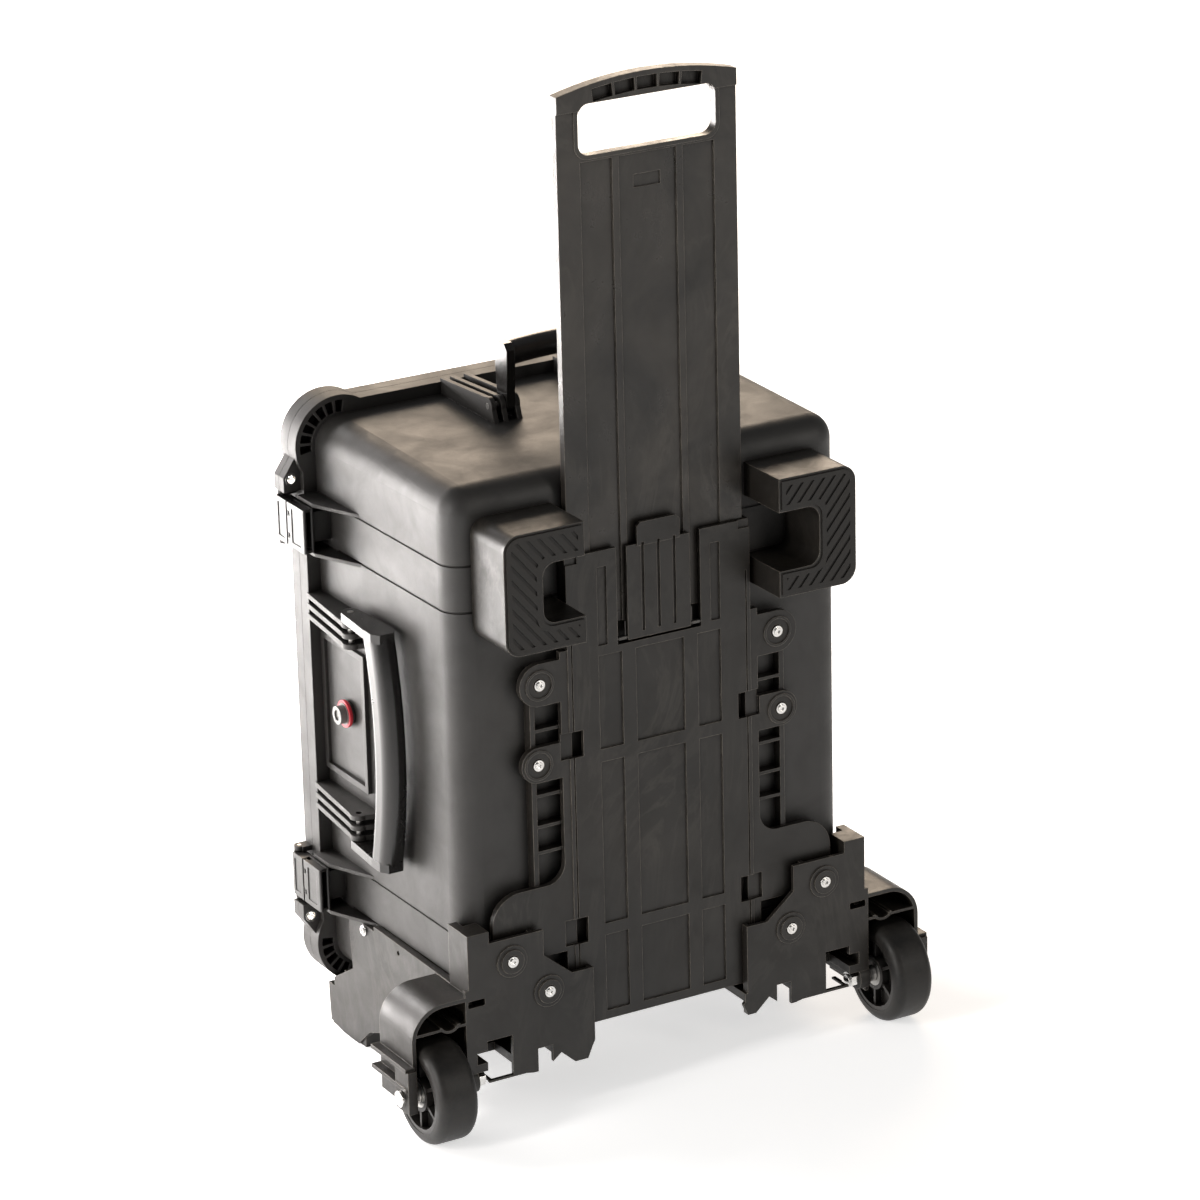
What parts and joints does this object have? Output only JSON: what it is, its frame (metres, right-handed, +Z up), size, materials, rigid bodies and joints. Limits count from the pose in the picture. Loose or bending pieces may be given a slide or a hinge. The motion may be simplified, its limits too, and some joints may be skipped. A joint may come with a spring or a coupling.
{
  "type": "wheeled equipment case",
  "caption": "Upright hard equipment case with a hinged lid, latches, carry handles, purge valve and a wheeled pull-handle kit on its back.",
  "frame": {"origin": "middle of the footprint, on the floor the wheels and feet stand on", "axes": "+Z up as the case stands on its wheels, -Y towards the pull handle and wheels, +Y towards the lid, -X towards the latches and +X towards the hinges"},
  "size_m": [0.585, 0.415, 0.9919],
  "materials": {
    "case_plastic": "textured matte",
    "kit_plastic": "textured satin",
    "handle_plastic": "satin",
    "seal_rubber": "matte",
    "pad_rubber": "matte",
    "tyre": "matte",
    "steel": "satin",
    "bright_steel": "polished",
    "red_rubber": "satin"
  },
  "bodies": {
    "case_base": {"base_shell": "case_plastic", "hinge_pins": "steel", "padlock_bushes_base": "steel", "front_handle_pins": "steel", "top_handle_pins": "steel", "valve_body": "kit_plastic", "valve_ring": "red_rubber", "valve_cap": "kit_plastic", "valve_nut": "kit_plastic", "slide_housing": "kit_plastic", "release_pin": "steel", "release_spring": "steel", "bumper_left": "kit_plastic", "bumper_right": "kit_plastic", "bumper_pad_left": "pad_rubber", "bumper_pad_right": "pad_rubber", "wheel_bracket_left": "kit_plastic", "wheel_bracket_right": "kit_plastic", "axle_bolts": "bright_steel", "axle_nuts": "bright_steel", "axle_spacers": "steel", "housing_screws": "bright_steel", "bracket_screws": "bright_steel", "side_screws": "bright_steel"},
    "lid": {"lid_shell": "case_plastic", "lid_seal": "seal_rubber", "padlock_bushes_lid": "steel", "latch_hook_pins": "steel"},
    "hook_upper": {"latch_hook_upper": "handle_plastic", "latch_lever_pin_upper": "steel"},
    "hook_lower": {"latch_hook_lower": "handle_plastic", "latch_lever_pin_lower": "steel"},
    "lever_upper": {"latch_lever_upper": "handle_plastic"},
    "lever_lower": {"latch_lever_lower": "handle_plastic"},
    "front_carry_handle": {"front_handle": "handle_plastic"},
    "top_carry_handle": {"top_handle": "handle_plastic"},
    "pull_slide": {"pull_handle": "kit_plastic"},
    "release": {"release_lever": "kit_plastic"},
    "wheel_left": {"wheel_hub_left": "kit_plastic", "tyre_left": "tyre", "wheel_bearings_left": "steel"},
    "wheel_right": {"wheel_hub_right": "kit_plastic", "tyre_right": "tyre", "wheel_bearings_right": "steel"}
  },
  "joints": [
    {"name": "lid_hinge", "type": "hinge", "parent": "case_base", "child": "lid", "pos_m": [0.238, 0.1315, 0.346], "axis": [0, 0, -1], "range_deg": [0, 110]},
    {"name": "latch_hook_upper_pivot", "type": "hinge", "parent": "lid", "child": "hook_upper", "pos_m": [-0.238, 0.1405, 0.53], "axis": [0, 0, -1], "range_deg": [0, 60]},
    {"name": "latch_lever_upper_pivot", "type": "hinge", "parent": "hook_upper", "child": "lever_upper", "pos_m": [-0.2441, 0.1165, 0.53], "axis": [0, 0, -1], "range_deg": [0, 100]},
    {"name": "latch_hook_lower_pivot", "type": "hinge", "parent": "lid", "child": "hook_lower", "pos_m": [-0.238, 0.1405, 0.162], "axis": [0, 0, -1], "range_deg": [0, 60]},
    {"name": "latch_lever_lower_pivot", "type": "hinge", "parent": "hook_lower", "child": "lever_lower", "pos_m": [-0.2441, 0.1165, 0.162], "axis": [0, 0, -1], "range_deg": [0, 100]},
    {"name": "front_handle_pivot", "type": "hinge", "parent": "case_base", "child": "front_carry_handle", "pos_m": [-0.23, 0.0245, 0.346], "axis": [0, 0, -1], "range_deg": [0, 95]},
    {"name": "top_handle_pivot", "type": "hinge", "parent": "case_base", "child": "top_carry_handle", "pos_m": [0, 0.0245, 0.6405], "axis": [1, 0, 0], "range_deg": [-15, 90]},
    {"name": "pull_handle_slide", "type": "slide", "parent": "case_base", "child": "pull_slide", "axis": [0, 0, 1], "range_m": [-0.355, 0]},
    {"name": "release_lever_pivot", "type": "hinge", "parent": "case_base", "child": "release", "pos_m": [0, -0.1547, 0.456], "axis": [1, 0, 0], "range_deg": [0, 6], "stiffness_Nm_per_rad": 0.8, "springref_deg": -8.59},
    {"name": "wheel_left_spin", "type": "hinge", "parent": "case_base", "child": "wheel_left", "pos_m": [-0.2525, -0.1575, 0.05], "axis": [1, 0, 0], "continuous": true},
    {"name": "wheel_right_spin", "type": "hinge", "parent": "case_base", "child": "wheel_right", "pos_m": [0.2525, -0.1575, 0.05], "axis": [1, 0, 0], "continuous": true}
  ]
}
